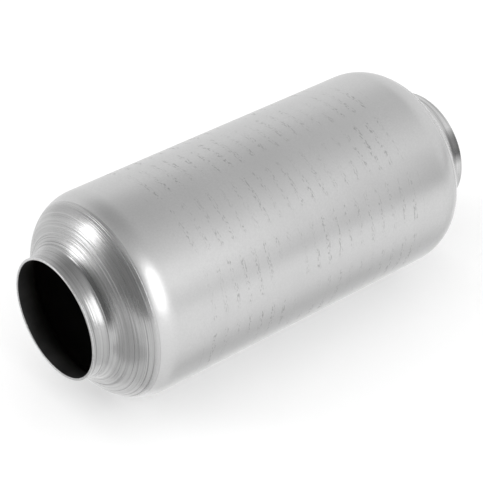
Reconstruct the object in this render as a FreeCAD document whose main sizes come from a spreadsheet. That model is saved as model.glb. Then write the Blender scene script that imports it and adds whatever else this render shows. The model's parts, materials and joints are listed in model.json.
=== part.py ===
"""Catalytic converter with a spun tubular shell, as a parametric document in millimetres.

Gas flows along +X, from the inlet neck to the outlet neck, and +Z is up. The origin is on the
axis, halfway between the two mouths. The shell is one tube whose ends are spun down to the necks.
It holds two ceramic honeycomb bricks in line. Each brick is wrapped in a mat that grips it, and a
ring of knitted wire mesh guards each edge of the mat from the gas.
"""

import FreeCAD, Part
import math
import os

import Sketcher
from FreeCAD import Placement, Rotation, Vector

# Driving dimensions: alias in the sheet, value (mm, or degrees for the angle), meaning.
SIZES = (
    ("BodyDiameter", 101.6, "outside diameter of the body tube, 4 inches"),
    ("StraightLength", 164.0, "length over which the tube keeps its full diameter"),
    ("WallThickness", 1.2, "sheet thickness of the tube"),
    ("ShoulderRadius", 20.9, "outside radius of the turn from the body into each cone"),
    ("ConeAngle", 60.7, "angle of each cone to the axis"),
    ("ThroatRadius", 7.7, "outside radius of the hollow turn from each cone into its neck"),
    ("NeckLength", 4.7, "straight length of each neck"),
    ("PipeDiameter", 57.15, "outside diameter of the exhaust pipe that a neck takes, 2 1/4 inches"),
    ("PipeClearance", 0.3, "gap all round between that pipe and the bore of a neck"),
    ("BrickLength", 70.0, "length of each honeycomb brick"),
    ("BrickGap", 12.0, "open space between the two bricks"),
    ("BrickSkin", 1.2, "least thickness of the solid skin around the channels"),
    ("CellPitch", 5.6, "distance between the centres of neighbouring channels"),
    ("CellWall", 0.9, "thickness of the walls between the channels"),
    ("MatRoom", 3.1, "room for the mat between brick and tube"),
    ("SeatClearance", 0.1, "gap left at each round face of a mat or seal"),
    ("SealWidth", 6.0, "length of each mesh ring along the axis"),
    ("SealSetback", 2.0, "bare edge of the brick outside each mesh ring"),
    ("SealBevel", 0.8, "bevel that pressing leaves on the edges of a mesh ring"),
    ("MatJointGap", 0.8, "gap where the two ends of a mat meet"),
    ("TongueWidth", 18.0, "width of the tongue on one end of the mat"),
    ("TongueLength", 15.0, "how far the tongue reaches into the other end"),
)

BODY_RADIUS = "Sizes.BodyDiameter / 2"
NECK_RADIUS = "(Sizes.PipeDiameter / 2 + Sizes.PipeClearance + Sizes.WallThickness)"
TUBE_BORE_RADIUS = "(Sizes.BodyDiameter / 2 - Sizes.WallThickness)"
BRICK_RADIUS = "(Sizes.BodyDiameter / 2 - Sizes.WallThickness - Sizes.MatRoom)"
LAGGING_OUTER_RADIUS = TUBE_BORE_RADIUS + " - Sizes.SeatClearance"
LAGGING_INNER_RADIUS = BRICK_RADIUS + " + Sizes.SeatClearance"
BRICK_PLACE = "(Sizes.BrickLength + Sizes.BrickGap) / 2"
SEAL_PLACE = "(Sizes.BrickLength / 2 - Sizes.SealSetback - Sizes.SealWidth / 2)"
MAT_LENGTH = "(Sizes.BrickLength - 2 * Sizes.SealSetback - 2 * Sizes.SealWidth)"

FLATNESS = 1e-6
ALONG_X = Rotation(Vector(0, 1, 0), 90)
START, END = range(1, 3)
SKETCH_X_AXIS, SKETCH_Y_AXIS = range(-1, -3, -1)
SKETCH_ORIGIN = (SKETCH_X_AXIS, START)

doc = FreeCAD.newDocument("CatalyticConverter")


def make_sheet():
    """Fill the spreadsheet that every feature reads."""
    table = doc.addObject("Spreadsheet::Sheet", "Sizes")
    for row, (alias, value, meaning) in enumerate(SIZES, start=1):
        table.set(f"A{row}", alias)
        table.set(f"B{row}", str(value))
        table.setAlias(f"B{row}", alias)
        table.set(f"C{row}", meaning)
    doc.recompute()
    return table


sheet = make_sheet()


def size(alias):
    """Read one driving dimension back from the sheet."""
    return float(sheet.get(alias))


def new_body(label):
    body = doc.addObject("PartDesign::Body", label)
    body.Label = label
    return body


def origin_feature(body, role):
    """Find one of the body's own base planes or axes."""
    return next(item for item in body.Origin.OriginFeatures if item.Role == role)


def new_sketch(body, name):
    """Start a sketch on the body's XY plane: its X axis is the axis of the converter."""
    sketch = body.newObject("Sketcher::SketchObject", name)
    sketch.AttachmentSupport = [(origin_feature(body, "XY_Plane"), "")]
    sketch.MapMode = "FlatFace"
    return sketch


def add_dimension(sketch, name, formula, *constraint):
    """Add a named dimension to the sketch and bind it to the sheet."""
    index = sketch.addConstraint(Sketcher.Constraint(*constraint))
    sketch.renameConstraint(index, name)
    sketch.setExpression(f"Constraints.{name}", formula)


def revolve(body, sketch, name):
    """Turn the sketch once around the axis of the converter."""
    turned = body.newObject("PartDesign::Revolution", name)
    turned.Profile = sketch
    turned.ReferenceAxis = (sketch, ["H_Axis"])
    turned.Angle = 360
    sketch.Visibility = False
    return turned


# ---- shell -------------------------------------------------------------------------------------


def shell_profile(sketch):
    """Outline of the inlet half: mouth, neck, throat, cone, shoulder and body, closed on the axis."""
    turn = math.radians(size("ConeAngle"))
    body_radius = size("BodyDiameter") / 2
    neck_radius = size("PipeDiameter") / 2 + size("PipeClearance") + size("WallThickness")
    shoulder = size("ShoulderRadius")
    throat = size("ThroatRadius")
    sine, cosine = math.sin(turn), math.cos(turn)

    shoulder_start = Vector(-size("StraightLength") / 2, body_radius, 0)
    shoulder_centre = shoulder_start - Vector(0, shoulder, 0)
    cone_top = shoulder_centre + Vector(-sine, cosine, 0) * shoulder
    cone_foot_height = neck_radius + throat * (1 - cosine)
    cone_foot = cone_top - Vector(cosine / sine, 1, 0) * (cone_top.y - cone_foot_height)
    throat_centre = cone_foot + Vector(-sine, cosine, 0) * throat
    neck_end = throat_centre - Vector(0, throat, 0)
    mouth = neck_end - Vector(size("NeckLength"), 0, 0)
    body_middle = Vector(0, body_radius, 0)
    axis_end = Vector(mouth.x, 0, 0)

    def line(start, end):
        return sketch.addGeometry(Part.LineSegment(start, end))

    def arc(centre, radius, first, last):
        circle = Part.Circle(centre, Vector(0, 0, 1), radius)
        return sketch.addGeometry(Part.ArcOfCircle(circle, first, last))

    face = line(axis_end, mouth)
    neck = line(mouth, neck_end)
    throat_arc = arc(throat_centre, throat, 1.5 * math.pi, 1.5 * math.pi + turn)
    cone = line(cone_foot, cone_top)
    shoulder_arc = arc(shoulder_centre, shoulder, 0.5 * math.pi, 0.5 * math.pi + turn)
    wall = line(shoulder_start, body_middle)
    middle = line(body_middle, Vector(0, 0, 0))
    axis = line(Vector(0, 0, 0), axis_end)

    sketch.addConstraint([
        Sketcher.Constraint("Coincident", face, END, neck, START),
        Sketcher.Constraint("Tangent", neck, END, throat_arc, START),
        Sketcher.Constraint("Tangent", throat_arc, END, cone, START),
        Sketcher.Constraint("Tangent", cone, END, shoulder_arc, END),
        Sketcher.Constraint("Tangent", shoulder_arc, START, wall, START),
        Sketcher.Constraint("Coincident", wall, END, middle, START),
        Sketcher.Constraint("Coincident", middle, END, axis, START),
        Sketcher.Constraint("Coincident", axis, END, face, START),
        Sketcher.Constraint("Coincident", middle, END, *SKETCH_ORIGIN),
        Sketcher.Constraint("Vertical", face),
        Sketcher.Constraint("Horizontal", neck),
        Sketcher.Constraint("Horizontal", wall),
        Sketcher.Constraint("Vertical", middle),
        Sketcher.Constraint("Horizontal", axis),
    ])
    add_dimension(sketch, "BodyRadius", BODY_RADIUS, "DistanceY", middle, END, middle, START, body_radius)
    add_dimension(sketch, "NeckRadius", NECK_RADIUS, "DistanceY", face, START, face, END, neck_radius)
    add_dimension(sketch, "NeckLength", "Sizes.NeckLength", "DistanceX", neck, START, neck, END,
                  size("NeckLength"))
    add_dimension(sketch, "HalfStraight", "Sizes.StraightLength / 2", "DistanceX", wall, START, wall, END,
                  size("StraightLength") / 2)
    add_dimension(sketch, "Shoulder", "Sizes.ShoulderRadius", "Radius", shoulder_arc, shoulder)
    add_dimension(sketch, "Throat", "Sizes.ThroatRadius", "Radius", throat_arc, throat)
    add_dimension(sketch, "ConeAngle", "Sizes.ConeAngle", "Angle", cone, turn)


def mouth_faces(shape):
    """Names of the two flat faces that close the ends of the solid blank."""
    ends = (shape.BoundBox.XMin, shape.BoundBox.XMax)
    return [
        f"Face{number}"
        for number, face in enumerate(shape.Faces, start=1)
        if face.BoundBox.XLength < FLATNESS
        and min(abs(face.BoundBox.XMin - end) for end in ends) < FLATNESS
    ]


def make_shell():
    """One drawn and spun tube: a turned blank, doubled at mid-length and hollowed to the sheet's wall."""
    body = new_body("converter_shell")
    sketch = new_sketch(body, "ShellProfile")
    shell_profile(sketch)
    half = revolve(body, sketch, "InletHalf")
    doc.recompute()

    whole = body.newObject("PartDesign::Mirrored", "BothHalves")
    whole.Originals = [half]
    whole.MirrorPlane = (origin_feature(body, "YZ_Plane"), [""])
    body.Tip = whole
    doc.recompute()

    hollow = body.newObject("PartDesign::Thickness", "TubeWall")
    hollow.Base = (whole, mouth_faces(whole.Shape))
    hollow.Reversed = True
    hollow.setExpression("Value", "Sizes.WallThickness")
    body.Tip = hollow
    doc.recompute()
    if hollow.Shape.Volume > 0.5 * whole.Shape.Volume:
        raise RuntimeError("the shell was not hollowed")
    return body


# ---- honeycomb bricks --------------------------------------------------------------------------


def square_wire(y, z, side):
    half = side / 2
    corners = [Vector(0, y + dy, z + dz)
               for dy, dz in ((-half, -half), (half, -half), (half, half), (-half, half))]
    return Part.makePolygon(corners + corners[:1])


def channel_centres(room, pitch, side):
    """Places of the channels on a square grid, as far as whole channels fit within the radius `room`."""
    reach = int(room / pitch) + 1
    steps = [step * pitch for step in range(-reach, reach + 1)]
    half = side / 2
    return [(y, z) for y in steps for z in steps if math.hypot(abs(y) + half, abs(z) + half) <= room]


def make_brick_section():
    """Cross-section of a brick: a disc pierced by square channels, with a solid skin around them."""
    radius = size("BodyDiameter") / 2 - size("WallThickness") - size("MatRoom")
    side = size("CellPitch") - size("CellWall")
    rim = Part.Wire(Part.makeCircle(radius, Vector(0, 0, 0), Vector(1, 0, 0)))
    channels = [square_wire(y, z, side)
                for y, z in channel_centres(radius - size("BrickSkin"), size("CellPitch"), side)]
    section = doc.addObject("Part::Feature", "BrickSection")
    section.Shape = Part.makeFace([rim] + channels, "Part::FaceMakerCheese")
    section.Visibility = False
    return section


def make_brick(label, section, side_sign):
    """Extrude the section into the brick on one side of the middle: -1 inlet, +1 outlet."""
    brick = doc.addObject("Part::Extrusion", label)
    brick.Label = label
    brick.Base = section
    brick.DirMode = "Custom"
    brick.Dir = Vector(1, 0, 0)
    brick.Symmetric = True
    brick.Solid = True
    brick.setExpression("LengthFwd", "Sizes.BrickLength")
    brick.setExpression("Placement.Base.x", f"{side_sign} * {BRICK_PLACE}")
    return brick


# ---- support mats ------------------------------------------------------------------------------


def make_cylinder(name, radius):
    """Cylinder on the X axis, as long as a mat and centred on the origin."""
    cylinder = doc.addObject("Part::Cylinder", name)
    cylinder.Placement = Placement(Vector(0, 0, 0), ALONG_X)
    cylinder.setExpression("Radius", radius)
    cylinder.setExpression("Height", MAT_LENGTH)
    cylinder.setExpression("Placement.Base.x", f"-{MAT_LENGTH} / 2")
    return cylinder


def make_block(name, length, low_y, width):
    """Block above the axis, centred on x = 0, that reaches through the top of a mat."""
    block = doc.addObject("Part::Box", name)
    block.setExpression("Length", length)
    block.setExpression("Width", width)
    block.setExpression("Height", BODY_RADIUS)
    block.setExpression("Placement.Base.x", f"-({length}) / 2")
    block.setExpression("Placement.Base.y", low_y)
    return block


def make_cut(name, base, tool):
    cut = doc.addObject("Part::Cut", name)
    cut.Base = base
    cut.Tool = tool
    return cut


def make_mat(label, side_sign):
    """Strip wrapped once around its brick; its ends meet on top, a tongue in a matching notch."""
    ring = make_cut(
        label + "_ring",
        make_cylinder(label + "_outside", LAGGING_OUTER_RADIUS),
        make_cylinder(label + "_inside", LAGGING_INNER_RADIUS),
    )
    half_gap = "Sizes.MatJointGap / 2"
    joint = doc.addObject("Part::Fuse", label + "_joint")
    joint.Base = make_block(label + "_slit", MAT_LENGTH, f"-{half_gap}", "Sizes.MatJointGap")
    joint.Tool = make_block(label + "_notch", "Sizes.TongueWidth + Sizes.MatJointGap", f"-{half_gap}",
                            "Sizes.TongueLength + Sizes.MatJointGap")
    tongue = make_block(label + "_tongue", "Sizes.TongueWidth - Sizes.MatJointGap", f"-{half_gap}",
                        "Sizes.TongueLength")
    mat = make_cut(label, ring, make_cut(label + "_gap", joint, tongue))
    mat.Label = label
    mat.setExpression("Placement.Base.x", f"{side_sign} * {BRICK_PLACE}")
    return mat


# ---- wire mesh seals ---------------------------------------------------------------------------


def seal_profile(sketch):
    """Rectangle between brick and tube, centred on the sketch's Y axis."""
    inner = size("BodyDiameter") / 2 - size("WallThickness") - size("MatRoom") + size("SeatClearance")
    outer = size("BodyDiameter") / 2 - size("WallThickness") - size("SeatClearance")
    half = size("SealWidth") / 2
    corners = [Vector(-half, inner, 0), Vector(half, inner, 0), Vector(half, outer, 0), Vector(-half, outer, 0)]
    bottom, right, top, left = [
        sketch.addGeometry(Part.LineSegment(corner, corners[(number + 1) % 4]))
        for number, corner in enumerate(corners)
    ]
    sketch.addConstraint([
        Sketcher.Constraint("Coincident", bottom, END, right, START),
        Sketcher.Constraint("Coincident", right, END, top, START),
        Sketcher.Constraint("Coincident", top, END, left, START),
        Sketcher.Constraint("Coincident", left, END, bottom, START),
        Sketcher.Constraint("Symmetric", bottom, START, bottom, END, SKETCH_Y_AXIS),
        Sketcher.Constraint("Vertical", right),
        Sketcher.Constraint("Horizontal", top),
        Sketcher.Constraint("Vertical", left),
    ])
    add_dimension(sketch, "Width", "Sizes.SealWidth", "DistanceX", bottom, START, bottom, END, 2 * half)
    add_dimension(sketch, "InnerRadius", LAGGING_INNER_RADIUS, "DistanceY", *SKETCH_ORIGIN, bottom, START, inner)
    add_dimension(sketch, "OuterRadius", LAGGING_OUTER_RADIUS, "DistanceY", *SKETCH_ORIGIN, top, START, outer)


def make_seal(label, brick_sign, end_sign):
    """Ring of knitted wire pressed against one edge of a mat, with bevelled edges."""
    body = new_body(label)
    sketch = new_sketch(body, label + "_profile")
    seal_profile(sketch)
    ring = revolve(body, sketch, label + "_ring")
    doc.recompute()

    bevel = body.newObject("PartDesign::Chamfer", label + "_bevel")
    circles = [f"Edge{number}" for number, edge in enumerate(ring.Shape.Edges, start=1)
               if isinstance(edge.Curve, Part.Circle)]
    bevel.Base = (ring, circles)
    bevel.setExpression("Size", "Sizes.SealBevel")
    body.Tip = bevel
    body.setExpression("Placement.Base.x", f"{brick_sign} * {BRICK_PLACE} + {end_sign} * {SEAL_PLACE}")
    return body


# ---- assembly ----------------------------------------------------------------------------------


def make_parts():
    section = make_brick_section()
    parts = [make_shell()]
    for name, brick_sign in (("inlet", -1), ("outlet", 1)):
        parts.append(make_brick(f"{name}_honeycomb", section, brick_sign))
        parts.append(make_mat(f"{name}_mat", brick_sign))
        for edge, end_sign in (("front", -1), ("rear", 1)):
            parts.append(make_seal(f"{name}_{edge}_mesh_seal", brick_sign, end_sign))
    doc.recompute()
    return parts


def check(parts):
    """Stop before anything is written if a feature failed or a part is not one sound solid."""
    for item in doc.Objects:
        if "Invalid" in item.State or "Error" in item.State:
            raise RuntimeError(f"{item.Label} failed: {item.State}")
    for part in parts:
        if part.Shape.isNull() or not part.Shape.isValid() or len(part.Shape.Solids) != 1:
            raise RuntimeError(f"{part.Label} is not one valid solid")


def export(parts):
    os.makedirs("parts", exist_ok=True)
    for part in parts:
        part.Shape.exportStep(f"parts/{part.Label}.step")
        box = part.Shape.BoundBox
        print(f"{part.Label}: {part.Shape.Volume / 1000:.1f} cm3, x {box.XMin:.2f} to {box.XMax:.2f}, "
              f"radius {box.YMax:.2f}")


converter_parts = make_parts()
check(converter_parts)
export(converter_parts)
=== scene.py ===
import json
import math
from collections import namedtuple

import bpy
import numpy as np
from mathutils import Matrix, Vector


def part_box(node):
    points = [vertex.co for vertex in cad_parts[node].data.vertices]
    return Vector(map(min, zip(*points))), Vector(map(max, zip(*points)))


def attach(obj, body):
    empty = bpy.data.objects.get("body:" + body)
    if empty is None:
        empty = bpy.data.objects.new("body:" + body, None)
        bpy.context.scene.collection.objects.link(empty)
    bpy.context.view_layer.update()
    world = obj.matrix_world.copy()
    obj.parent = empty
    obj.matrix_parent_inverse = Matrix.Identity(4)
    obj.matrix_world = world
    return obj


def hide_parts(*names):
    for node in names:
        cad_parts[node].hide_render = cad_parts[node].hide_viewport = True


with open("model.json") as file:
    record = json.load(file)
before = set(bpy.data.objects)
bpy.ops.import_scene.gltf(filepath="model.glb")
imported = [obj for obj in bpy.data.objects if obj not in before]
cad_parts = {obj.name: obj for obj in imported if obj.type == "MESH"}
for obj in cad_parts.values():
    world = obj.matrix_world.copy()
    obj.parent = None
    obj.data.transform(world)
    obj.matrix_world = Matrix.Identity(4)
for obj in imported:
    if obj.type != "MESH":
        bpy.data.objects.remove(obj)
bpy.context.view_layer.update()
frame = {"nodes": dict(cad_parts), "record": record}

# %% [markdown]
# # A spun catalytic converter
#
# The real object is one stainless tube, about 100 mm across, whose two ends were spun down by a roller
# until only short open necks were left. Inside sit two ceramic honeycomb bricks. The CAD frame already
# holds every piece at its true place, so this lesson only gives the pieces their looks: a finer shell
# with the marks of the spinning roller, honeycombs with cells of the real size, and finishes for the
# steel, the ceramic, the mats and the wire mesh. Every size that the frame knows is read from it.

MM = 0.001
mounts = {mount["name"]: mount for mount in frame["record"]["mounts"]}
shell_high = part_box("converter_shell")[1]
half_length = shell_high[0]
body_radius = shell_high[2]
neck_radius = mounts["inlet_spigot"]["dims"]["r_mm"] * MM
bore_radius = mounts["inlet_bore"]["dims"]["r_mm"] * MM
neck_length = mounts["inlet_bore"]["dims"]["length_mm"] * MM
wall = neck_radius - bore_radius
print(f"shell: {2 * half_length / MM:.1f} mm long, {2 * body_radius / MM:.1f} mm across")
print(f"wall: {wall / MM:.2f} mm")

# %% [markdown]
# ## The outline of the shell
#
# Seen from the side, half of the tube is a few runs joined smoothly: the straight neck, a hollow throat,
# a short cone, a round shoulder and the straight body. Each run is a length and a turn, so the outline
# can be walked like a path: go forward, turn a little, go forward again. Walking by arc length is handy
# here, because the roller's marks are evenly spaced along the surface, not along the axis. A spun neck
# has no sharp start to its hollow: the roller eases into the turn and out of it. So the throat is
# three arcs, the middle one tight, that together turn the same corner as the single arc of the CAD.

# %% Walk the outline
SHOULDER_RADIUS = 20.9 * MM
THROAT_RADIUS = 7.7 * MM
CONE_ANGLE = math.radians(60.7)
EASE_IN = math.radians(17)
EASE_OUT = math.radians(15.7)
THROAT_ARCS = (
    (6.0 * MM, EASE_IN),
    (4.0 * MM, CONE_ANGLE - EASE_IN - EASE_OUT),
    (4.5 * MM, EASE_OUT),
)


def walk(runs, arc, x, radius):
    """Follow runs of (length, turn) for `arc` metres; give the place reached and the heading there."""
    heading = 0.0
    for length, turn in runs:
        part = min(arc, length)
        bend = turn * part / length
        chord = part * (math.sin(bend / 2) / (bend / 2) if bend else 1.0)
        x += chord * math.cos(heading + bend / 2)
        radius += chord * math.sin(heading + bend / 2)
        heading += bend
        arc -= part
        if arc <= 0:
            return x, radius, heading
    return x + arc, radius, heading


def total_length(runs):
    return sum(length for length, turn in runs)


throat_x, throat_rise, _ = walk(THROAT_ARCS, total_length(THROAT_ARCS), 0.0, 0.0)
corner_x = neck_length + THROAT_RADIUS * math.tan(CONE_ANGLE / 2)
straight_neck = corner_x - (throat_x - throat_rise / math.tan(CONE_ANGLE))
shoulder_rise = SHOULDER_RADIUS * (1 - math.cos(CONE_ANGLE))
cone_length = (body_radius - neck_radius - throat_rise - shoulder_rise) / math.sin(CONE_ANGLE)
print(f"neck {straight_neck / MM:.2f} mm straight, cone {cone_length / MM:.2f} mm")

# %% Places on the outline
RUNS = (
    (straight_neck, 0.0),
    *THROAT_ARCS,
    (cone_length, 0.0),
    (SHOULDER_RADIUS * CONE_ANGLE, -CONE_ANGLE),
)


def outline_point(arc):
    """Place (x, radius) and outward normal of the outside surface, `arc` metres from the inlet mouth."""
    x, radius, heading = walk(RUNS, arc, -half_length, neck_radius)
    return x, radius, -math.sin(heading), math.cos(heading)


end_arc = total_length(RUNS)
body_start = outline_point(end_arc)[0]
half_arc = end_arc - body_start
print(f"one end is {end_arc / MM:.1f} mm along the outline; the body starts at x {body_start / MM:.2f} mm")

# %% [markdown]
# ## The marks of the spinning roller
#
# A roller pressed against the turning tube leaves rings: broad shallow ones where it was fed along,
# fine ones between them, and a last few where it first touched the tube. They are real dents of a
# few hundredths of a millimetre, so they go into the mesh, where they bend the reflections. Each ring
# is a soft notch with its own depth, and it wanders and fades a little on its way round. The rings of
# the neck and of most of the throat are deeper, because there the roller turned its sharpest corner.

# %% Rings as notches
SPUN_ARC = 31.6 * MM
DEEP_RINGS_END = 13.0  # millimetres, as all lengths in a ring set are
DEEP_RINGS = 1.6
SHALLOWEST = 0.35
WIDTH_SPREAD = 0.3
rng = np.random.default_rng(7)


def ring_set(first, last, pitch, jitter, depth, width):
    """Rings along one end, in millimetres: place, depth, width, and how each fades round the tube."""
    places = np.arange(first, last, pitch)
    count = len(places)
    return np.column_stack([
        places + rng.uniform(-jitter, jitter, count),
        depth * rng.uniform(SHALLOWEST, 1.0, count) * np.where(places < DEEP_RINGS_END, DEEP_RINGS, 1.0),
        width * rng.uniform(1 - WIDTH_SPREAD, 1 + WIDTH_SPREAD, count),
        rng.uniform(0, 2 * math.pi, count),
        rng.integers(1, 4, count),
    ])


def end_rings():
    """All rings of one spun end, now in metres along the outline from the mouth."""
    feed = ring_set(first=2.0, last=28.5, pitch=2.35, jitter=0.5, depth=0.046, width=0.34)
    fine = ring_set(first=0.8, last=28.5, pitch=0.80, jitter=0.3, depth=0.026, width=0.16)
    start = ring_set(first=29.1, last=31.5, pitch=1.15, jitter=0.05, depth=0.018, width=0.17)
    return np.vstack([feed, fine, start]) * (MM, MM, MM, 1, 1)


inlet_rings = end_rings()
outlet_rings = end_rings()
print(f"rings: {len(inlet_rings)} on each end")

# %% Depth of the rings
WANDER_ONCE = 0.12 * MM
WANDER_THRICE = 0.05 * MM
WANDER_PHASE = 0.8
RING_FADE = 0.25
NOTCH_REACH = 5


def ring_depth(arc, around, rings):
    """How far the surface lies below the smooth outline, for one place along it and all round it."""
    depth = np.zeros_like(around)
    wander = WANDER_ONCE * np.sin(around + WANDER_PHASE) + WANDER_THRICE * np.sin(3 * around)
    for place, deep, width, phase, waves in rings:
        if abs(arc - place) < NOTCH_REACH * width:
            fade = 1 - RING_FADE + RING_FADE * np.sin(waves * around + phase)
            depth += deep * fade * np.exp(-(((arc + wander - place) / width) ** 2))
    return depth


print(f"deepest ring: {max(inlet_rings[:, 1]) / MM:.3f} mm")

# %% [markdown]
# ## Turning the shell
#
# A lathe shape could be a curve with a Screw modifier, but then every ring would be perfectly even.
# Instead the mesh is laid out as a grid: one row of vertices round the tube for each step along the
# outline, pushed in by the depth of the rings. Steps are short on the spun ends and long on the plain
# body. The same walk, set back by the wall, gives the inside, and a small rounding joins them at the
# lips, where it catches the light.

# %% Lay out the rows of the grid
LIP = 0.25 * MM
LIP_TURNS = (0, 30, 60, 90)
SPUN_STEP = 0.24 * MM
SHOULDER_STEP = 1.2 * MM
BODY_STEP = 11.0 * MM
INSIDE_STEP = 1.6 * MM


def half_steps(spun_step):
    """Arc lengths from just inside the lip to the middle of the body."""
    spun = np.arange(2 * LIP, SPUN_ARC, spun_step)
    shoulder = np.arange(SPUN_ARC, end_arc, max(SHOULDER_STEP, spun_step))
    body = np.linspace(end_arc, half_arc, max(2, round((half_arc - end_arc) / BODY_STEP)))
    return np.concatenate([spun, shoulder, body])


def full_walk(steps, inset):
    """Rows (x, radius, arc) for both halves, from the inlet lip to the outlet lip."""
    rows = []
    for arc in steps:
        x, radius, normal_x, normal_r = outline_point(arc)
        rows.append((x - inset * normal_x, radius - inset * normal_r, arc))
    mirrored = [(-x, radius, arc) for x, radius, arc in reversed(rows[:-1])]
    return rows + mirrored


def lip_rows(side):
    """The rounded edge of one mouth, from the outside to the bore; side is -1 inlet, +1 outlet."""
    rows = []
    for centre, first_angle in ((neck_radius - LIP, 90), (bore_radius + LIP, 0)):
        for turn in LIP_TURNS:
            angle = math.radians(first_angle - turn)
            x = side * (half_length - LIP + LIP * math.cos(angle))
            rows.append((x, centre + LIP * math.sin(angle), 0.0))
    return rows


outside = full_walk(half_steps(SPUN_STEP), 0.0)
inside = full_walk(half_steps(INSIDE_STEP), wall)
outlet_lip = lip_rows(1)
inlet_lip = lip_rows(-1)
print(f"rows: {len(outside)} outside, {len(inside)} inside, {len(inlet_lip)} on each lip")

# %% Vertices of a row
AROUND = 200
RING_MARGIN = 2 * MM
OUTER, EDGE, INNER = range(3)
angles = np.linspace(0, 2 * math.pi, AROUND, endpoint=False)
rows = outside + outlet_lip + inside[::-1] + inlet_lip[::-1]
kinds = ((OUTER, outside), (EDGE, outlet_lip), (INNER, inside), (EDGE, inlet_lip))
surfaces = [surface for surface, part in kinds for _ in part]


def row_of_vertices(x, radius, arc, surface):
    """The vertices of one row, pushed in where the roller left a ring."""
    sunk = np.zeros(AROUND)
    if surface == OUTER and arc < SPUN_ARC + RING_MARGIN:
        sunk = ring_depth(arc, angles, outlet_rings if x > 0 else inlet_rings)
    ring = radius - sunk
    return np.column_stack([np.full(AROUND, x), ring * np.cos(angles), ring * np.sin(angles)])


print(f"grid: {len(rows)} rows of {AROUND} vertices")

# %% Turn the rows into a mesh
SPUN, SATIN, CUT, BORE = range(4)


def shell_mesh(name):
    """Join each row to the next one, and the last to the first, and note the finish of each face."""
    vertices = np.vstack([row_of_vertices(*row, surface) for row, surface in zip(rows, surfaces)])
    faces, finishes = [], []
    for row, surface in enumerate(surfaces):
        here = row * AROUND
        there = (row + 1) % len(rows) * AROUND
        outer_finish = SPUN if rows[row][2] < SPUN_ARC else SATIN
        finish = {OUTER: outer_finish, EDGE: CUT, INNER: BORE}[surface]
        for step in range(AROUND):
            turn = (step + 1) % AROUND
            faces.append((here + step, here + turn, there + turn, there + step))
            finishes.append(finish)
    mesh = bpy.data.meshes.new(name)
    mesh.from_pydata(vertices.tolist(), [], faces)
    mesh.polygons.foreach_set("material_index", finishes)
    mesh.polygons.foreach_set("use_smooth", [True] * len(faces))
    mesh.update()
    return mesh


def add_piece(name, mesh):
    piece = bpy.data.objects.new(name, mesh)
    bpy.context.scene.collection.objects.link(piece)
    return piece


shell = add_piece("spun_shell", shell_mesh("spun_shell"))
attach(shell, "root")
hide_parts("converter_shell")
print(f"spun_shell: {2 * len(shell.data.polygons)} triangles")

# %% [markdown]
# ## Node helpers
#
# Every finish below is a small tree of procedural nodes. Textures use object coordinates, which are
# metres in the frame, so grain keeps its real size. These helpers add a node, set its sockets and link
# it in one line, which keeps each finish short enough to read. Noise rarely leaves the middle of its
# range, so most finishes spread that middle over the values that they want.

# %% Helpers for node trees
NOISE_SPREAD = (0.3, 0.7)
MIX_FACTOR, MIX_FIRST, MIX_SECOND, MIX_RESULT = 0, 6, 7, 2


class Finish:
    """A material under construction: a node tree, its Principled shader and shorthand to add nodes."""

    def __init__(self, name, **sockets):
        self.material = bpy.data.materials.new(name)
        self.material.use_nodes = True
        self.tree = self.material.node_tree
        self.shader = self.tree.nodes["Principled BSDF"]
        for socket, value in sockets.items():
            self.shader.inputs[socket.replace("_", " ")].default_value = value
        self.place = self.node("ShaderNodeTexCoord").outputs["Object"]

    def node(self, kind, inputs=None, **settings):
        node = self.tree.nodes.new(kind)
        for setting, value in settings.items():
            setattr(node, setting, value)
        for socket, value in (inputs or {}).items():
            if isinstance(value, bpy.types.NodeSocket):
                self.tree.links.new(value, node.inputs[socket])
            else:
                node.inputs[socket].default_value = value
        return node

    def math(self, operation, *values):
        return self.node("ShaderNodeMath", dict(enumerate(values)), operation=operation).outputs[0]

    def add(self, first, second):
        return self.math("ADD", first, second)

    def times(self, first, second):
        return self.math("MULTIPLY", first, second)

    def noise(self, vector, scale, detail=2.0, roughness=0.5):
        inputs = {"Vector": vector, "Scale": scale, "Detail": detail, "Roughness": roughness}
        return self.node("ShaderNodeTexNoise", inputs).outputs["Fac"]

    def band(self, value, low, high, to_low=0.0, to_high=1.0):
        """Map a range of values onto another, without running over its ends."""
        inputs = {"Value": value, "From Min": low, "From Max": high, "To Min": to_low, "To Max": to_high}
        return self.node("ShaderNodeMapRange", inputs).outputs["Result"]

    def combine(self, x, y, z):
        return self.node("ShaderNodeCombineXYZ", {0: x, 1: y, 2: z}).outputs[0]

    def split(self, vector):
        return self.node("ShaderNodeSeparateXYZ", {0: vector}).outputs

    def mix_color(self, factor, first, second):
        """The Mix node keeps sockets for every type of data, so the colours go by number."""
        inputs = {MIX_FACTOR: factor, MIX_FIRST: first, MIX_SECOND: second}
        return self.node("ShaderNodeMix", inputs, data_type="RGBA").outputs[MIX_RESULT]

    def bump(self, height, distance, strength=1.0, normal=None):
        inputs = {"Height": height, "Distance": distance, "Strength": strength}
        if normal is not None:
            inputs["Normal"] = normal
        return self.node("ShaderNodeBump", inputs).outputs["Normal"]

    def drive(self, socket, value):
        self.tree.links.new(value, self.shader.inputs[socket])


print("noise from {} to {} is spread over each range".format(*NOISE_SPREAD))

# %% Helpers for slots and greys
def add_finish(piece, material):
    """Give a piece its next material slot."""
    piece.data.materials.append(material)
    print(f"{piece.name}: {material.name}, {len(material.node_tree.nodes)} nodes")


def grey(level):
    """A colour without hue, from 0, black, to 1, white, and not see-through."""
    return (level, level, level, 1.0)


print("mid grey:", grey(0.5))

# %% [markdown]
# ## Coordinates that follow the tube
#
# Lines and highlights on a turned part run round it. So the steel finishes need to know how far along
# the axis a place is, how far from it, and on which side. The side is kept as the y and z of a circle
# of radius 1, because an angle would jump where it starts again. Anisotropy, which stretches a
# highlight in one direction, needs that direction too, and the Tangent node gives it.

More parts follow.
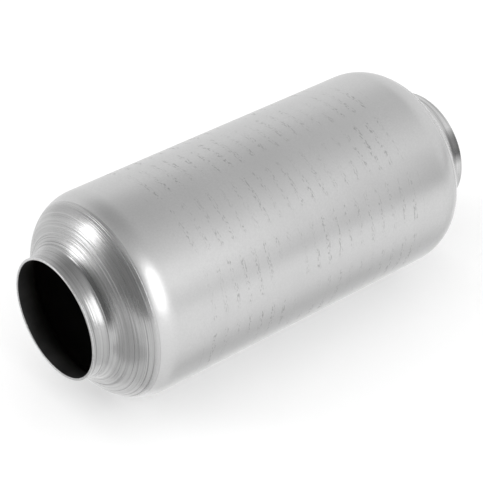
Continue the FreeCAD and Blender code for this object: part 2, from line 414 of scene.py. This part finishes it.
# %% Follow the tube
def round_the_tube(finish):
    """Coordinates that follow the tube: x, distance from the axis, and the unit circle's y and z."""
    x, y, z = finish.split(finish.place)
    radius = finish.math("SQRT", finish.add(finish.times(y, y), finish.times(z, z)))
    return x, radius, finish.math("DIVIDE", y, radius), finish.math("DIVIDE", z, radius)


def stretch_round(finish):
    """Let the highlights stretch across the lines that run round the tube."""
    tangent = finish.node("ShaderNodeTangent", direction_type="RADIAL", axis="X").outputs[0]
    finish.drive("Tangent", tangent)


print(f"the lines of the body are circles of {2 * math.pi * body_radius / MM:.0f} mm")

# %% [markdown]
# ## Spun steel
#
# Where the roller passed, the steel is bright and full of fine lines that run round the tube. Three things
# make that look: the dents already in the mesh, a bump of much finer lines, and anisotropy. The lines come
# from noise that changes fast along the outline and very slowly round the tube. A few of them are scored
# dark. The line where the roller's marks end is frayed, so the lines also push the border between spun and
# satin steel to and fro. The inlet end is given darker steel than the outlet end.

# %% Lines of the spun ends
INLET_STEEL = 0.40
OUTLET_STEEL = 0.60
SPUN_ROUGHNESS = 0.21
SATIN_STEEL = 0.60
SATIN_ROUGHNESS = 0.34
LINE_DRIFT = 0.25 * MM
ALONG_AXIS = 0.6
ALONG_RADIUS = 0.8
COARSE_LINES = 620
FINE_LINES = 1900
SCORED_LINES = 1500
SCORED_BAND = (0.57, 0.66)
BORDER_FRAY = 4 * MM
BORDER_WIDTH = 4 * MM
border_x = 0.5 * MM - outline_point(SPUN_ARC)[0]


def spun_line_place(finish, x, radius, across, up):
    """Coordinates that run along the outline, set apart by end, and hardly change round the tube."""
    inward = finish.math("SUBTRACT", finish.times(finish.math("ABSOLUTE", x), ALONG_AXIS),
                         finish.times(radius, ALONG_RADIUS))
    along = finish.add(inward, finish.math("SIGN", x))
    return finish.combine(along, finish.times(across, LINE_DRIFT), finish.times(up, LINE_DRIFT))


def spun_lines(finish, line_place):
    """The even lines of the roller, and the few that it scored, both from 0 to 1."""
    coarse = finish.noise(line_place, COARSE_LINES, detail=1)
    fine = finish.noise(line_place, FINE_LINES, detail=2)
    lines = finish.add(finish.times(coarse, 0.5), finish.times(fine, 0.5))
    scored = finish.band(finish.noise(line_place, SCORED_LINES, detail=2), *SCORED_BAND)
    return lines, scored


def worked_by_roller(finish, x, lines):
    """1 where the roller passed, 0 on the plain body, with a frayed border between them."""
    frayed = finish.add(finish.math("ABSOLUTE", x), finish.times(lines, BORDER_FRAY))
    return finish.band(frayed, border_x, border_x + BORDER_WIDTH)


print(f"the spun steel ends about {border_x / MM:.0f} mm from the middle")

# %% [markdown]
# ## Painted dark reflections
#
# On part of the way round, a dark reflection is painted into the colour of the steel: a crescent in the
# hollow of the inlet's throat and a patch on the outlet's neck. They are painted reflections of dark
# things around the object, not marks on the steel. A streak is the product of two soft bands, one along
# the outline and one round the tube. The roller's lines fray its edges. The patch on the neck starts
# before the mouth, so that it runs off the edge.

# %% Streaks by place
# end is -1 at the inlet and 1 at the outlet, first and last are places along the outline, and side
# and half_width are degrees round the tube, counted from +Y towards +Z.
Streak = namedtuple("Streak", "end first last side half_width strength")
# Two painted dark reflections: one in the inlet's throat and one on the outlet's neck.
STREAKS = (
    Streak(end=-1, first=8.4 * MM, last=11.4 * MM, side=132, half_width=31, strength=0.62),
    Streak(end=1, first=-1.5 * MM, last=6.0 * MM, side=151, half_width=13, strength=0.80),
)
STREAK_FRAY = 1.5 * MM
STREAK_FADE_IN = 1.6 * MM
STREAK_FADE_OUT = 1.2 * MM
STREAK_SOFTNESS = 0.10


def dark_reflection_mask(finish, x, across, up, lines, streak):
    """How far a place is inside one streak, from 0 to 1."""
    outward = finish.add(finish.times(x, streak.end), finish.times(lines, -STREAK_FRAY))
    start, stop = -outline_point(streak.last)[0], -outline_point(streak.first)[0]
    along = finish.times(finish.band(outward, start - STREAK_FADE_IN, start),
                         finish.band(outward, stop - STREAK_FADE_OUT, stop, 1.0, 0.0))
    side, half_width = math.radians(streak.side), math.radians(streak.half_width)
    towards = finish.add(finish.times(across, math.cos(side)), finish.times(up, math.sin(side)))
    outer, inner = math.cos(half_width + STREAK_SOFTNESS), math.cos(half_width - STREAK_SOFTNESS)
    return finish.times(along, finish.band(towards, outer, inner))


print("streaks:", len(STREAKS))

# %% Colour of the spun ends
INLET_TONES = (0.82, 1.14)
OUTLET_TONES = (0.70, 1.14)
SCORED_STEEL = 0.13
SCORED_STRENGTH = 0.55
# Grey of the painted dark reflections in the throat and on the neck.
PAINTED_REFLECTION_GREY = 0.12
END_SWITCH = 1 * MM


def end_steel(finish, lines, level, tones):
    """The steel of one end, darker and brighter line by line."""
    dark, bright = (grey(level * tone) for tone in tones)
    return finish.mix_color(finish.band(lines, *NOISE_SPREAD), dark, bright)


def spun_color(finish, x, across, up, lines, scored):
    inlet = end_steel(finish, lines, INLET_STEEL, INLET_TONES)
    outlet = end_steel(finish, lines, OUTLET_STEEL, OUTLET_TONES)
    steel = finish.mix_color(finish.band(x, -END_SWITCH, END_SWITCH), inlet, outlet)
    steel = finish.mix_color(finish.times(scored, SCORED_STRENGTH), steel, grey(SCORED_STEEL))
    # Each streak paints a dark reflection into the colour of the steel.
    for streak in STREAKS:
        mark = finish.times(dark_reflection_mask(finish, x, across, up, lines, streak), streak.strength)
        steel = finish.mix_color(mark, steel, grey(PAINTED_REFLECTION_GREY))
    return steel


# The last value is the grey of the painted dark reflections.
print(f"brightness: inlet {INLET_STEEL}, outlet {OUTLET_STEEL}, painted_dark_reflection {PAINTED_REFLECTION_GREY}")

# %% Finish of the spun ends
LINE_ROUGHNESS = (0.05, -0.03)
PATCH_ROUGHNESS = (-0.03, 0.05)
SCORED_ROUGHNESS = 0.08
LINE_DEPTH = 0.22 * MM
SATIN_LINES = 0.1


def spun_roughness(finish, lines, scored, worked):
    patches = finish.noise(finish.place, 60, detail=3)
    uneven = finish.add(finish.band(lines, *NOISE_SPREAD, *LINE_ROUGHNESS),
                        finish.band(patches, *NOISE_SPREAD, *PATCH_ROUGHNESS))
    level = finish.band(worked, 0.0, 1.0, SATIN_ROUGHNESS, SPUN_ROUGHNESS)
    return finish.add(finish.add(uneven, level), finish.times(scored, SCORED_ROUGHNESS))


def spun_steel():
    finish = Finish("spun_steel", Metallic=1.0, Anisotropic=0.55)
    x, radius, across, up = round_the_tube(finish)
    lines, scored = spun_lines(finish, spun_line_place(finish, x, radius, across, up))
    worked = worked_by_roller(finish, x, lines)
    rolled = spun_color(finish, x, across, up, lines, scored)
    finish.drive("Base Color", finish.mix_color(worked, grey(SATIN_STEEL), rolled))
    finish.drive("Roughness", spun_roughness(finish, lines, scored, worked))
    height = finish.times(lines, finish.band(worked, 0.0, 1.0, SATIN_LINES, 1.0))
    finish.drive("Normal", finish.bump(height, LINE_DEPTH, 1.0))
    stretch_round(finish)
    return finish.material


add_finish(shell, spun_steel())

# %% [markdown]
# ## Marks of the feed rolls
#
# The body keeps the even satin of the rolled sheet, with faint rows of short broken dashes that the
# feed rolls pressed into it. The dashes are a plain pattern: rows at an even pitch along the tube, in
# ten tracks round it, each broken up by noise so that only scraps are left. None of it says anything.

# %% Rows of dashes
ROW_PITCH = 6.95 * MM
ROW_REACH = 69.0 * MM
ROW_OFFSET = 100.5  # whole rows keep the count positive, and half a row centres the pattern
ROW_EDGE = (0.12, 0.20)
REACH_FADE = 1 * MM
DASH_STRETCH = 0.016
DASH_SCALE = 1500
DASH_BAND = (0.53, 0.61)
TRACK_PAIRS = 5
TRACK_EDGE = (0.25, 0.45)
LEFT_OVER_BAND = (0.34, 0.56)


def roll_marks(finish, x, across, up):
    """How strongly the feed rolls marked each place, from 0 to 1."""
    phase = finish.math("FRACT", finish.add(finish.math("DIVIDE", x, ROW_PITCH), ROW_OFFSET))
    from_row = finish.math("ABSOLUTE", finish.math("SUBTRACT", phase, 0.5))
    in_row = finish.band(from_row, *ROW_EDGE, 1.0, 0.0)
    in_reach = finish.band(finish.math("ABSOLUTE", x), ROW_REACH - REACH_FADE, ROW_REACH, 1.0, 0.0)
    dash_place = finish.combine(x, finish.times(across, DASH_STRETCH), finish.times(up, DASH_STRETCH))
    dashes = finish.band(finish.noise(dash_place, DASH_SCALE, detail=2, roughness=0.6), *DASH_BAND)
    angle = finish.math("ARCTAN2", up, across)
    track = finish.math("ABSOLUTE", finish.math("SINE", finish.times(angle, TRACK_PAIRS)))
    in_track = finish.band(track, *TRACK_EDGE)
    left_over = finish.band(finish.noise(finish.place, 36, detail=2), *LEFT_OVER_BAND)
    marked = finish.times(finish.times(in_row, in_reach), finish.times(dashes, left_over))
    return finish.times(marked, in_track)


print(f"rows of dashes: {2 * ROW_REACH / ROW_PITCH:.0f}")

# %% [markdown]
# ## Satin steel
#
# The roller never touched the body, so it has no lines, only a fine even grain and soft clouds where
# the sheet is a little brighter or duller. The grain also gives the surface a faint bump. The dashes
# are darker and rougher than the steel around them.

# %% Finish of the plain body
CLOUD_TONES = (grey(SATIN_STEEL * 0.96), grey(SATIN_STEEL * 1.03))
SPECKLE_TONE = grey(SATIN_STEEL * 0.91)
GRAIN_BAND = (0.35, 0.75)
GRAIN_ROUGHNESS = (-0.02, 0.03)
CLOUD_ROUGHNESS = (-0.015, 0.02)
DASH_ROUGHNESS = 0.2
DASH_STEEL = 0.2
DASH_STRENGTH = 0.45
GRAIN_DEPTH = 0.004 * MM
DASH_DEPTH = 0.02 * MM


def satin_steel():
    finish = Finish("satin_steel", Metallic=1.0, Anisotropic=0.15)
    x, radius, across, up = round_the_tube(finish)
    marks = roll_marks(finish, x, across, up)
    grain = finish.noise(finish.place, 1000, detail=4, roughness=0.7)
    clouds = finish.noise(finish.place, 28, detail=3)
    sheet = finish.mix_color(finish.band(clouds, *NOISE_SPREAD), *CLOUD_TONES)
    speckled = finish.mix_color(finish.band(grain, *GRAIN_BAND), sheet, SPECKLE_TONE)
    dashed = finish.mix_color(finish.times(marks, DASH_STRENGTH), speckled, grey(DASH_STEEL))
    finish.drive("Base Color", dashed)
    uneven = finish.add(finish.band(grain, *NOISE_SPREAD, *GRAIN_ROUGHNESS),
                        finish.band(clouds, *NOISE_SPREAD, *CLOUD_ROUGHNESS))
    rough = finish.add(finish.add(uneven, SATIN_ROUGHNESS), finish.times(marks, DASH_ROUGHNESS))
    finish.drive("Roughness", rough)
    fine = finish.bump(grain, GRAIN_DEPTH, 0.5)
    finish.drive("Normal", finish.bump(marks, -DASH_DEPTH, 0.6, fine))
    stretch_round(finish)
    return finish.material


add_finish(shell, satin_steel())

# %% [markdown]
# ## Cut edges and the shaded bore
#
# The edge of each mouth was cut off after spinning and deburred, so it is bare bright steel with small
# nicks. Inside the tube the colour is painted almost black, as painted shade of the deep tube, so the
# mouth reads almost black. A rough, dark metal does it, with cloudy lighter patches near the mouth:
# painted light where it reaches in at the opening.

# %% Finish of the cut edges and of the inside
NICK_DEPTH = 0.02 * MM
MOUTH_REACH = 12 * MM
EDGE_TONES = (grey(0.46), grey(0.66))
DEEP_SHADE_TONES = (grey(0.006), grey(0.016))
MOUTH_LIGHT_TONES = (grey(0.02), grey(0.07))


def cut_edge():
    finish = Finish("cut_edge", Metallic=1.0, Roughness=0.36)
    nicks = finish.noise(finish.place, 1200, detail=3)
    finish.drive("Base Color", finish.mix_color(finish.band(nicks, 0.35, 0.7), *EDGE_TONES))
    finish.drive("Normal", finish.bump(nicks, NICK_DEPTH, 0.5))
    return finish.material


def shaded_bore():
    finish = Finish("shaded_bore", Metallic=0.5)
    x = finish.split(finish.place)[0]
    near_mouth = finish.band(finish.math("ABSOLUTE", x), half_length - MOUTH_REACH, half_length)
    clouds = finish.noise(finish.place, 55, detail=4)
    # Deep in the tube the colour is painted near black: painted shade.
    skin = finish.mix_color(finish.band(clouds, 0.35, 0.7), *DEEP_SHADE_TONES)
    # Near the mouth the colour is lighter in patches: painted light that reaches in at the opening.
    mouth_light = finish.mix_color(finish.band(clouds, 0.4, 0.7), *MOUTH_LIGHT_TONES)
    finish.drive("Base Color", finish.mix_color(near_mouth, skin, mouth_light))
    finish.drive("Roughness", finish.band(clouds, *NOISE_SPREAD, 0.62, 0.45))
    finish.drive("Normal", finish.bump(finish.noise(finish.place, 900), NICK_DEPTH, 0.5))
    return finish.material


add_finish(shell, cut_edge())
add_finish(shell, shaded_bore())

# %% [markdown]
# ## Honeycomb bricks
#
# The ceramic is extruded with thin walls between square channels, about 1.27 mm from one channel to the
# next. The CAD solid has wider channels to stay light. Here each channel is real geometry: four walls
# down its length, and at both ends a thin frame that faces outwards. Squares too near the edge stay
# closed, and a skin closes the brick round the outside, as the real one has.

# %% Squares of a brick
CHANNEL_PITCH = 1.27 * MM
CHANNEL_WALL = 0.17 * MM
SKIN = 1.9 * MM
SKIN_PROUD = 0.05 * MM
SKIN_STEPS = 120
CORNER_PAIRS = ((0, 1), (1, 2), (2, 3), (3, 0))


def brick_squares(radius):
    """The squares inside the brick, by column and row, each with whether it is an open channel."""
    reach = int(radius / CHANNEL_PITCH) + 1
    squares = {}
    for column in range(-reach, reach + 1):
        for row in range(-reach, reach + 1):
            corner = math.hypot(abs(column) + 0.5, abs(row) + 0.5) * CHANNEL_PITCH
            if corner < radius - SKIN_PROUD:
                squares[column, row] = corner < radius - SKIN
    return squares


def square(x, y, z, half):
    left, right, low, high = y - half, y + half, z - half, z + half
    return [(x, left, low), (x, right, low), (x, right, high), (x, left, high)]


brick_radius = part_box("inlet_honeycomb")[1][1]
print(f"open channels in a brick: {sum(brick_squares(brick_radius).values())}")

# %% One square of a brick
def add_square(vertices, faces, squares, place, ends):
    """One square: its two ends, the walls of an open channel, and each side with no square beside it."""
    column, row = place
    y, z = column * CHANNEL_PITCH, row * CHANNEL_PITCH
    front = len(vertices)
    for x in ends:
        vertices += square(x, y, z, CHANNEL_PITCH / 2)
        if squares[place]:
            vertices += square(x, y, z, (CHANNEL_PITCH - CHANNEL_WALL) / 2)
    rear = (front + len(vertices)) // 2
    neighbours = ((column, row - 1), (column + 1, row), (column, row + 1), (column - 1, row))
    for (side, turn), neighbour in zip(CORNER_PAIRS, neighbours):
        if neighbour not in squares:
            faces.append((front + side, front + turn, rear + turn, rear + side))
    if not squares[place]:
        faces += [(front + 3, front + 2, front + 1, front), (rear, rear + 1, rear + 2, rear + 3)]
        return
    for side, turn in CORNER_PAIRS:
        faces.append((front + side, front + 4 + side, front + 4 + turn, front + turn))
        faces.append((rear + side, rear + turn, rear + 4 + turn, rear + 4 + side))
        faces.append((front + 4 + side, rear + 4 + side, rear + 4 + turn, front + 4 + turn))


print(f"a channel is {(CHANNEL_PITCH - CHANNEL_WALL) / MM:.2f} mm wide")

# %% Skin, and both bricks
def add_skin(vertices, faces, low, high, radius):
    """The closed ring round the brick."""
    skin_loop = ((low[0], radius), (high[0], radius), (high[0], radius - SKIN), (low[0], radius - SKIN))
    base = len(vertices)
    for step in range(SKIN_STEPS):
        angle = 2 * math.pi * step / SKIN_STEPS
        vertices += [(x, r * math.cos(angle), r * math.sin(angle)) for x, r in skin_loop]
    for step in range(SKIN_STEPS):
        here, there = base + 4 * step, base + 4 * ((step + 1) % SKIN_STEPS)
        for corner, turn in CORNER_PAIRS:
            faces.append((here + corner, there + corner, there + turn, here + turn))


def honeycomb_mesh(name, low, high):
    """A brick that fills the box from low to high, with its channels along X."""
    vertices, faces = [], []
    radius = high[1]
    ends = (low[0] + SKIN_PROUD, high[0] - SKIN_PROUD)
    squares = brick_squares(radius)
    for place in squares:
        add_square(vertices, faces, squares, place, ends)
    add_skin(vertices, faces, low, high, radius)
    mesh = bpy.data.meshes.new(name)
    mesh.from_pydata(vertices, [], faces)
    mesh.update()
    return mesh


bricks = {}
for side in ("inlet", "outlet"):
    node = f"{side}_honeycomb"
    brick = add_piece(f"{side}_brick", honeycomb_mesh(f"{side}_brick", *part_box(node)))
    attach(brick, "root")
    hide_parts(node)
    bricks[side] = brick
    brick.data.calc_loop_triangles()
    print(f"{brick.name}: {len(brick.data.loop_triangles)} triangles")

# %% [markdown]
# ## Washcoated ceramic
#
# The bare ceramic is pale, and the coat that carries the catalyst turns it a matt brownish grey. It has
# no shine at all, so the finish is a rough shader with two browns and a fine grain.

# %% Finish of the bricks
DARK_COAT = (0.16, 0.12, 0.085, 1)
PALE_COAT = (0.27, 0.215, 0.16, 1)
COAT_GRAIN = (0.36, 0.31, 0.25, 1)
COAT_DEPTH = 0.02 * MM


def coated_ceramic():
    finish = Finish("coated_ceramic", Roughness=0.9)
    blotches = finish.noise(finish.place, 90, detail=4)
    grain = finish.noise(finish.place, 3000, detail=2)
    brown = finish.mix_color(finish.band(blotches, *NOISE_SPREAD), DARK_COAT, PALE_COAT)
    finish.drive("Base Color", finish.mix_color(finish.band(grain, 0.4, 0.8), brown, COAT_GRAIN))
    finish.drive("Normal", finish.bump(grain, COAT_DEPTH, 0.6))
    return finish.material


ceramic = coated_ceramic()
for brick in bricks.values():
    add_finish(brick, ceramic)

# %% [markdown]
# ## Mats and mesh rings
#
# These stay as the CAD made them, hidden between brick and tube, and only get their finish. The mat is
# pale ceramic fibre with golden flakes of a mineral that swells when hot. The ring is knitted steel
# wire: two sets of waves, one round the ring and one along it, cross to give rows of loops.

# %% Finish of the mats
FIBRE_STRETCH = (0.4, 1.0, 1.0)
DARK_WOOL = (0.62, 0.58, 0.48, 1)
PALE_WOOL = (0.86, 0.83, 0.75, 1)
GOLDEN_FLAKE = (0.5, 0.36, 0.14, 1)
FIBRE_DEPTH = 0.15 * MM


def fibre_mat():
    finish = Finish("fibre_mat", Roughness=0.95)
    axes = zip(finish.split(finish.place), FIBRE_STRETCH)
    stretched = [finish.times(axis, stretch) for axis, stretch in axes]
    fibres = finish.noise(finish.combine(*stretched), 1400, detail=4)
    voronoi = finish.node("ShaderNodeTexVoronoi", {"Vector": finish.place, "Scale": 420.0})
    flakes = voronoi.outputs["Distance"]
    wool = finish.mix_color(finish.band(fibres, *NOISE_SPREAD), DARK_WOOL, PALE_WOOL)
    finish.drive("Base Color", finish.mix_color(finish.band(flakes, 0.22, 0.14), wool, GOLDEN_FLAKE))
    finish.drive("Normal", finish.bump(fibres, FIBRE_DEPTH, 0.7))
    return finish.material


def refinish(ending, material):
    """Give a new material to every node of the frame whose name ends so."""
    for name, node in frame["nodes"].items():
        if name.endswith(ending):
            for slot in node.material_slots:
                slot.material = material
            print(f"{name}: {material.name}")


refinish("_mat", fibre_mat())

# %% Finish of the rings
LOOPS_ROUND = 180.0
LOOPS_ALONG = 4200.0
LOOP_LEAN = 1.4
LOOP_DEPTH = 0.25 * MM


def knitted_wire():
    finish = Finish("knitted_wire", Metallic=1.0, Roughness=0.34)
    x, radius, across, up = round_the_tube(finish)
    angle = finish.math("ARCTAN2", up, across)
    round_loops = finish.math("SINE", finish.times(angle, LOOPS_ROUND))
    leaning = finish.add(finish.times(x, LOOPS_ALONG), finish.times(round_loops, LOOP_LEAN))
    loops = finish.times(finish.add(round_loops, finish.math("SINE", leaning)), 0.5)
    # Where the loops dip, the colour goes dark: painted shade in the gaps between the wires.
    finish.drive("Base Color", finish.mix_color(finish.band(loops, -0.6, 0.4), grey(0.05), grey(0.5)))
    finish.drive("Normal", finish.bump(loops, LOOP_DEPTH, 0.8))
    return finish.material


refinish("_mesh_seal", knitted_wire())

# %% [markdown]
# ## Lamps
#
# Bare metal shows its surroundings more than itself, so the studio is half of the finish. Two large
# soft lamps do most of the work. The one on the right of the camera gives the bright spot on the
# shoulder of the inlet end, and the one on the left gives the spots on its cone. A weak third lamp
# fills in further to the right. Each lamp is set by the brightness of its face, not by its power, so
# that its size can change without changing how bright it looks in the metal.

# %% Place lamps by direction
def direction(azimuth, elevation):
    """Unit vector; azimuth turns from +X towards +Y, both angles in degrees."""
    a, e = math.radians(azimuth), math.radians(elevation)
    return Vector((math.cos(a) * math.cos(e), math.sin(a) * math.cos(e), math.sin(e)))


def face_centre(thing, azimuth, elevation, distance):
    """Put a lamp or card at a distance from the object, turned towards it."""
    towards = direction(azimuth, elevation)
    thing.location = towards * distance
    thing.rotation_mode = "QUATERNION"
    thing.rotation_quaternion = towards.to_track_quat("Z", "Y")


def soft_lamp(name, azimuth, elevation, distance, width, height, radiance):
    """A rectangular lamp whose face is as bright as a white surface of that radiance."""
    lamp = bpy.data.lights.new(name, "AREA")
    lamp.shape = "RECTANGLE"
    lamp.size, lamp.size_y = width, height
    lamp.energy = radiance * math.pi * width * height
    holder = bpy.data.objects.new(name, lamp)
    bpy.context.scene.collection.objects.link(holder)
    holder.visible_camera = False
    face_centre(holder, azimuth, elevation, distance)
    print(f"{name}: {width} by {height} m, {lamp.energy:.2f} W")


soft_lamp("key_lamp", azimuth=-99, elevation=27, distance=0.95, width=0.40, height=0.72, radiance=2.3)
soft_lamp("left_lamp", azimuth=147, elevation=27, distance=0.95, width=0.28, height=0.58, radiance=3.2)
soft_lamp("fill_lamp", azimuth=-60, elevation=27, distance=1.0, width=0.40, height=0.40, radiance=0.40)

# %% [markdown]
# ## Cards for the metal to reflect
#
# In an all white room a metal tube would be all white too. Whoever lights metal puts up dark and pale
# cards just out of view, and the metal shows them as its darker and lighter bands. Here a dark flag
# stands to the left of the camera, a low strip and a lamp stand to the right, and papers lie on the
# floor. All of them are seen only in reflections, so they cast no shadow on the floor.

# %% Cards that stand
def flat_sheet(name, width, height):
    half_w, half_h = width / 2, height / 2
    corners = [(-half_w, -half_h, 0), (half_w, -half_h, 0), (half_w, half_h, 0), (-half_w, half_h, 0)]
    mesh = bpy.data.meshes.new(name)
    mesh.from_pydata(corners, [], [(0, 1, 2, 3)])
    return mesh


def card(name, width, height, level):
    """A flat panel of the studio, seen only in reflections."""
    panel = add_piece(name, flat_sheet(name, width, height))
    panel.visible_camera = False
    panel.visible_diffuse = False
    panel.visible_shadow = False
    finish = Finish(name, Roughness=1.0, Base_Color=grey(level), Emission_Color=grey(1.0))
    add_finish(panel, finish.material)
    return panel, finish


def standing_card(name, azimuth, distance, width, height, level):
    """A card that stands on the floor and faces the object."""
    stood, finish = card(name, width, height, level)
    face_centre(stood, azimuth, 0, distance)
    stood.location.z = height / 2 - body_radius


standing_card("dark_flag", azimuth=-160, distance=0.72, width=1.00, height=1.12, level=0.30)
standing_card("low_strip", azimuth=-35, distance=0.80, width=1.00, height=0.08, level=0.25)
standing_card("lamp_stand", azimuth=-50, distance=0.90, width=0.09, height=0.68, level=0.02)

# %% Papers that lie on the floor
PAPER_GAP = 1 * MM


def lying_card(name, low, high, level, glow=0.0):
    """A strip of paper flat on the floor, from corner to corner in x and y."""
    strip, finish = card(name, high[0] - low[0], high[1] - low[1], level)
    strip.location = ((low[0] + high[0]) / 2, (low[1] + high[1]) / 2, PAPER_GAP - body_radius)
    finish.shader.inputs["Emission Strength"].default_value = glow


lying_card("front_paper", low=(-0.75, -0.080), high=(-0.135, 0.080), level=0.60)
lying_card("side_paper", low=(-0.075, -0.074), high=(0.40, -0.048), level=0.82)
# The under paper glows with its own light, which puts a bright reflection along the lower edge of the body
# where the floor lies in its shadow.
lying_card("under_paper", low=(-0.11, -0.036), high=(0.20, 0.02), level=0.5, glow=0.8)

# %% [markdown]
# ## Overhead panel
#
# Under an even white sky the top of the tube would be blank white. A large panel overhead is dim in
# its middle and grows as bright as the room at its rim, so that it draws a soft grey band along the
# body and has no edge that shows in the metal.

# %% Panel that grows brighter to its rim
PANEL_SIZE = 3.0
PANEL_CENTRE = (-0.10, 0.30, 0.85)
DIM_RADIUS = 0.12
BRIGHT_RADIUS = 1.35
DIM_LEVEL = 0.38

overhead, panel_finish = card("overhead_panel", PANEL_SIZE, PANEL_SIZE, 0.0)
overhead.location = PANEL_CENTRE
length_node = panel_finish.node("ShaderNodeVectorMath", {0: panel_finish.place}, operation="LENGTH")
from_centre = length_node.outputs["Value"]
brightness = panel_finish.band(from_centre, DIM_RADIUS, BRIGHT_RADIUS, DIM_LEVEL, 1.0)
panel_finish.drive("Emission Strength", brightness)
print(f"overhead_panel: {PANEL_SIZE} m wide, {PANEL_CENTRE[2]} m above the middle")

# %% [markdown]
# ## Floor and world
#
# The world is plain white to the camera and in reflections, and a little dimmer for everything that it
# lights. The floor is a pale sheet under the body. Part of its brightness is its own, so that it
# stays near white, and the rest comes from the lamps, so that the object still casts its soft shadow.

# %% Floor
FLOOR_SIZE = 12.0
FLOOR_COLOUR = 0.88
FLOOR_GLOW = 0.15


def sees_background(tree):
    """1 for the camera and for rays that metal or glass sends on, 0 for light on matt surfaces."""
    path = tree.nodes.new("ShaderNodeLightPath")
    total = path.outputs["Is Camera Ray"]
    for name in ("Is Glossy Ray", "Is Transmission Ray"):
        larger = tree.nodes.new("ShaderNodeMath")
        larger.operation = "MAXIMUM"
        tree.links.new(total, larger.inputs[0])
        tree.links.new(path.outputs[name], larger.inputs[1])
        total = larger.outputs[0]
    return total


floor = add_piece("floor", flat_sheet("floor", FLOOR_SIZE, FLOOR_SIZE))
floor.location.z = -body_radius
floor_finish = Finish("floor", Roughness=1.0, Base_Color=grey(FLOOR_COLOUR), Emission_Color=grey(1.0))
floor_finish.shader.inputs["Specular IOR Level"].default_value = 0.0
floor_finish.drive("Emission Strength", floor_finish.times(sees_background(floor_finish.tree), FLOOR_GLOW))
add_finish(floor, floor_finish.material)

# %% World
WORLD_LEVEL = 0.95

world = bpy.data.worlds.new("studio")
bpy.context.scene.world = world
world.use_nodes = True
background = world.node_tree.nodes["Background"]
level = world.node_tree.nodes.new("ShaderNodeMapRange")
world.node_tree.links.new(sees_background(world.node_tree), level.inputs["Value"])
level.inputs["To Min"].default_value = WORLD_LEVEL
level.inputs["To Max"].default_value = 1.0
world.node_tree.links.new(level.outputs["Result"], background.inputs["Strength"])
background.inputs["Color"].default_value = grey(1.0)
bpy.context.scene.view_settings.view_transform = "Standard"
print(f"world: 1.0 as background, {WORLD_LEVEL} as light")

# %% [markdown]
# ## Camera
#
# A long lens looks down on the inlet end from well above, and keeps the far end from shrinking much.
# The camera is placed by its direction from the middle of the body and then aimed a little below and to
# the left of it, which puts the object where it should be in the frame. Distances are counted in body
# radii, so the view stays the same if the tube is made larger.

# %% Camera
CAMERA_AZIMUTH = math.radians(-39.86)
CAMERA_ELEVATION = math.radians(34.80)
CAMERA_DISTANCE = 17.807
AIM_RIGHT = 0.0742
AIM_UP = 0.1909
LENS = 135.8
NEAREST, FARTHEST = 0.01, 50

back = Vector((math.sin(CAMERA_AZIMUTH) * math.cos(CAMERA_ELEVATION),
               -math.cos(CAMERA_AZIMUTH) * math.cos(CAMERA_ELEVATION), math.sin(CAMERA_ELEVATION)))
right = Vector((math.cos(CAMERA_AZIMUTH), math.sin(CAMERA_AZIMUTH), 0))
upward = back.cross(right)
camera = bpy.data.objects.new("camera", bpy.data.cameras.new("camera"))
bpy.context.scene.collection.objects.link(camera)
bpy.context.scene.camera = camera
camera.data.lens = LENS
camera.data.clip_start, camera.data.clip_end = NEAREST, FARTHEST
camera.location = (back * CAMERA_DISTANCE - right * AIM_RIGHT - upward * AIM_UP) * body_radius
camera.rotation_mode = "QUATERNION"
camera.rotation_quaternion = Matrix((right, upward, back)).transposed().to_quaternion()
print("camera at", [round(value, 3) for value in camera.location])
